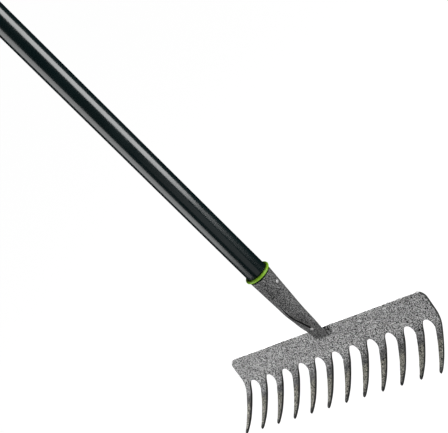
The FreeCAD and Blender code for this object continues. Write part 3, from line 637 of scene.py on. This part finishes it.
def make_socket():
    """The rolled and pressed socket, with its open seam and its press mark."""
    columns = 96
    painted_shade_marks, worn = [], []
    heights = np.concatenate([
        [SOCKET_LENGTH, 93.85, 93.5], np.linspace(92.5, 60, 30), np.linspace(59, 14, 60),
        np.linspace(13.5, 7, 24), np.linspace(6.5, -9.4, 26), [-9.8, -10.0],
    ])
    points = []
    mark = Vector((0, 0, EDGE_LEVEL + MARK_HEIGHT))
    for number, height in enumerate(heights):
        ring = socket_ring(height, columns)
        lip = LIP_SHARES[number] if number < len(LIP_SHARES) else 1.0
        for index, (x, y) in enumerate(ring):
            outside = index < columns
            share = lip if outside else 1.0
            point = Vector((x * share * MM, y * share * MM, EDGE_LEVEL + height * MM))
            hollow = 0.0
            if outside and y < 0:
                reach = math.hypot(point.x - mark.x, point.z - mark.z) / MARK_RADIUS
                hollow = math.exp(-reach ** 2)
                point.y += MARK_DEPTH * hollow
            # Painted highlight: the press mark is painted pale.
            worn.append(min(1.0, 1.6 * hollow))
            points.append(rest_on_plate(point))
            # Painted shade: the inside of the socket is painted near black.
            painted_shade_marks.append(0.0 if outside else 1.0)
    size = len(ring)
    faces = grid_faces(len(heights), size, True)
    for base, flip in ((0, True), ((len(heights) - 1) * size, False)):
        for column in range(columns - 1):
            mirror = columns + 4 + (columns - 1 - column)
            quad = [base + column, base + column + 1, base + mirror - 1, base + mirror]
            faces.append(quad[::-1] if flip else quad)
        faces.append([base + columns - 1 + i for i in range(6)])
        right = [base + size - 4 + i for i in range(4)] + [base, base + size - 5]
        faces.append(right)
    # Painted shade: the socket wears the head's hammertone with its pale flecks made darker.
    return new_piece("socket_rolled", points, faces, hammertone("socket_hammertone_shaded", 0.006, 0.27),
                     "socket_paint", "socket", wall=painted_shade_marks, worn=worn)


# ---------------------------------------------------------------- welds and rivet

# Height of a bead over its plain half round
WELD_FLATNESS = 0.75
# The beads beside the tongue: from its middle, down the plate, radius, half length and lift
SIDE_PLACE, SIDE_DEPTH, SIDE_RADIUS = 10.3 * MM, 5.5 * MM, 2.6 * MM
SIDE_HALF_LENGTH, SIDE_LIFT = 5.3 * MM, 0.4 * MM
# The bead across its end: down the plate, radius, half length and lift
END_DEPTH, END_RADIUS, END_HALF_LENGTH, END_LIFT = 10.3 * MM, 2.3 * MM, 7.2 * MM, -0.3 * MM


def make_weld(name, node, middle, upright, radius, half_length, lift, material):
    """A capsule of weld metal with crescent ripples, partly sunk in the plate."""
    rng = random.Random(name)
    rows, columns = 34, 28
    run_axis, side_axis = (DOWN, X_AXIS) if upright else (X_AXIS, DOWN)
    centre = HEAD_ORIGIN + X_AXIS * middle[0] + DOWN * middle[1] + OFF * lift
    phase = rng.uniform(0, 6)
    points = [centre - run_axis * half_length]
    for row in range(1, rows):
        turn = math.pi * row / rows
        along = -math.cos(turn)
        place = along * radius + (half_length - radius) * math.copysign(abs(along) ** 0.6, along)
        reach = radius * math.sqrt(max(0.0, 1 - abs(along) ** 2.6))
        for column in range(columns):
            angle = 2 * math.pi * column / columns
            crescent = place + 0.35 * radius * math.cos(angle)
            ripple = 1 + 0.035 * math.sin(2 * math.pi * crescent / (1.35 * MM) + phase)
            off = max(0.0, math.sin(angle))
            flat = WELD_FLATNESS if off else 1.0
            size = reach * (1 + (ripple - 1) * off)
            point = centre + run_axis * place + side_axis * size * math.cos(angle)
            point += OFF * size * flat * math.sin(angle)
            lump = noise.noise(point * 260) * 0.12 * MM
            points.append(point + OFF * lump * off)
    points.append(centre + run_axis * half_length)
    faces = [(0, 1 + i, 1 + (i + 1) % columns) for i in range(columns)]
    faces += [[1 + i for i in face] for face in grid_faces(rows - 1, columns, True)]
    last = 1 + (rows - 2) * columns
    faces += [(last + i, len(points) - 1, last + (i + 1) % columns) for i in range(columns)]
    return new_piece(name, points, faces, material, "weld_paint", node)


def make_welds():
    """The welds along both sides of the tongue and across its end."""
    # Painted shade: the welds wear the head's hammertone with its pale flecks made darker.
    material = hammertone("weld_hammertone_shaded", 0.006, 0.45)
    for name, node, side in (("weld_right", "weld_bead_right", 1), ("weld_left", "weld_bead_left", -1)):
        make_weld(name, node, (side * SIDE_PLACE, SIDE_DEPTH), True,
                  SIDE_RADIUS, SIDE_HALF_LENGTH, SIDE_LIFT, material)
    make_weld("weld_end", "weld_bead_end", (0, END_DEPTH), False,
              END_RADIUS, END_HALF_LENGTH, END_LIFT, material)


def make_rivet():
    """The cross rivet: a shank with a domed head on each side."""
    low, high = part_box("socket_rivet")
    centre = (low + high) / 2
    reach = high.x - centre.x
    shank, head = 2.4 * MM, 3.3 * MM
    rise = 1.4 * MM
    fall = rise * 0.675 / (1 - math.cos(1.2))
    dome = [(head * math.sin(t), reach - fall * (1 - math.cos(t))) for t in np.linspace(0.05, 1.45, 9)]
    half = [(0.02 * MM, reach)] + dome + [(head, reach - rise * 1.1), (shank, reach - rise * 1.15)]
    profile = half + [(radius, -height) for radius, height in reversed(half)]
    points, faces = lathe(profile, 32, Vector((0, 0, 0)))
    turn = Matrix.Rotation(math.pi / 2, 3, "Y")
    points = [centre + turn @ p for p in points]
    return new_piece("rivet_steel", points, faces, bare_steel("rivet_grey", 0.4, (300, 300, 300), 0.5, 0.65),
                     "rivet_steel", "socket_rivet")


# ---------------------------------------------------------------- handle


def make_coating():
    """The handle's coating: a long sleeve whose radius wanders by a few hundredths."""
    bore = HANDLE_RADIUS - 0.55 * MM
    length = SLEEVE_HIGH.z - SLEEVE_LOW.z
    lip = 0.35 * MM
    rows = 150
    outside = [(HANDLE_RADIUS, lip + (length - 2 * lip) * i / rows) for i in range(rows + 1)]
    profile = [(bore, 0), (HANDLE_RADIUS - lip, 0), (HANDLE_RADIUS - 0.3 * lip, 0.3 * lip)] + outside
    profile.append((HANDLE_RADIUS - 0.3 * lip, length - 0.3 * lip))
    profile += [(HANDLE_RADIUS - lip, length), (bore, length)]

    def wander(turn, height):
        where = Vector((math.cos(turn) * 0.4, math.sin(turn) * 0.4, height * 9))
        return 1 - 0.002 * (0.5 + 0.5 * noise.noise(where))

    points, faces = lathe(profile, 128, Vector((0, 0, SLEEVE_LOW.z)), wander)
    return new_piece("handle_coating", points, faces, glossy_coating(), "handle_coating", "handle_sleeve")


def dress(node, material):
    """Give a CAD node that stays its better material."""
    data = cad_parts[node].data
    data.materials.clear()
    data.materials.append(material)


head_piece = make_head()
make_socket()
make_welds()
make_rivet()
coating_piece = make_coating()
dress("collar_ring", lime_plastic())
dress("end_cap", moulded_plastic())
dress("handle_tube", bare_steel("tube_drawn", 0.5, (900, 900, 30)))

# ---------------------------------------------------------------- stage, light and camera

FLOOR_DROP = 0.3


def make_floor():
    """A wide pale floor below the head."""
    level = HEAD_LOW.z - FLOOR_DROP
    half = 14
    mesh = bpy.data.meshes.new("floor")
    corners = [(-half, -half, level), (half, -half, level), (half, half, level), (-half, half, level)]
    mesh.from_pydata(corners, [], [(0, 1, 2, 3)])
    floor = bpy.data.objects.new("floor", mesh)
    bpy.context.scene.collection.objects.link(floor)
    nodes = Nodes("floor_pale", 0.9)
    nodes.shader.inputs["Emission Color"].default_value = (1, 1, 1, 1)
    nodes.shader.inputs["Emission Strength"].default_value = 0.99
    nodes.shader.inputs["Specular IOR Level"].default_value = 0.0
    mesh.materials.append(nodes.finish(nodes.ramp(nodes.noise(2.0), (0.3, grey(0.29)), (0.7, grey(0.3)))))
    floor.visible_glossy = False


def add_softbox(name, azimuth, distance, height, width, tall, power, aim=None, only=None):
    """A soft light at an azimuth from +X, in degrees, turned to the axis at its own height or at aim.

    Its sides are width and tall, and its power is in watts. With only, it lights just those pieces.
    """
    light = bpy.data.lights.new(name, "AREA")
    light.shape = "RECTANGLE"
    light.size, light.size_y = width, tall
    light.energy = power
    box = bpy.data.objects.new(name, light)
    bpy.context.scene.collection.objects.link(box)
    turn = math.radians(azimuth)
    box.location = (distance * math.cos(turn), distance * math.sin(turn), height)
    away = box.location - Z_AXIS * (height if aim is None else aim)
    box.rotation_mode = "QUATERNION"
    box.rotation_quaternion = away.to_track_quat("Z", "Y")
    box.visible_camera = False
    if only:
        lit = bpy.data.collections.new(name + "_lights")
        for piece in only:
            lit.objects.link(piece)
        box.light_linking.receiver_collection = lit


def make_lights(head, handle):
    """Softboxes that streak the handle, two behind that light the head's edges, and a white room.

    The room is only a backdrop, so that the handle stays dark between its streaks.
    """
    add_softbox("left_box", -129, 1.0, -1.25, 0.95, 0.95, 7.5)
    add_softbox("right_box", 15, 0.9, -1.15, 0.7, 0.75, 10.0)
    add_softbox("back_box", 133, 1.2, -1.3, 0.7, 0.6, 18.0, EDGE_LEVEL, [head])
    add_softbox("high_box", 178, 1.2, -0.6, 0.9, 0.8, 8.5, HEAD_LOW.z, [head])
    add_softbox("low_box", -44, 1.2, -1.85, 1.1, 0.6, 0.7)
    for name, azimuth in (("upper_left_box", -129), ("upper_right_box", 15), ("upper_back_box", 120)):
        add_softbox(name, azimuth, 1.0, -0.1, 0.4, 1.1, 5.0, only=handle)
    world = bpy.data.worlds.new("room")
    world.use_nodes = True
    background = world.node_tree.nodes["Background"]
    background.inputs["Color"].default_value = (1, 1, 1, 1)
    background.inputs["Strength"].default_value = 0.95
    world.cycles_visibility.diffuse = False
    world.cycles_visibility.glossy = False
    bpy.context.scene.world = world


def make_camera():
    """The camera, aimed at a point beside the handle and rolled."""
    place = Vector((0.9021, -0.8801, -0.7688))
    target = Vector((0.0244, 0.0, -1.2475))
    roll = math.radians(45.16)
    data = bpy.data.cameras.new("camera")
    data.lens = 105.39
    data.sensor_width = 36
    camera = bpy.data.objects.new("camera", data)
    bpy.context.scene.collection.objects.link(camera)
    camera.location = place
    camera.rotation_mode = "QUATERNION"
    aim = (target - place).to_track_quat("-Z", "Y")
    camera.rotation_quaternion = aim @ Quaternion((0, 0, 1), -roll)
    bpy.context.scene.camera = camera


make_floor()
make_lights(head_piece, [coating_piece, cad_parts["end_cap"]])
make_camera()
bpy.context.scene.view_settings.view_transform = "Standard"
bpy.context.view_layer.update()
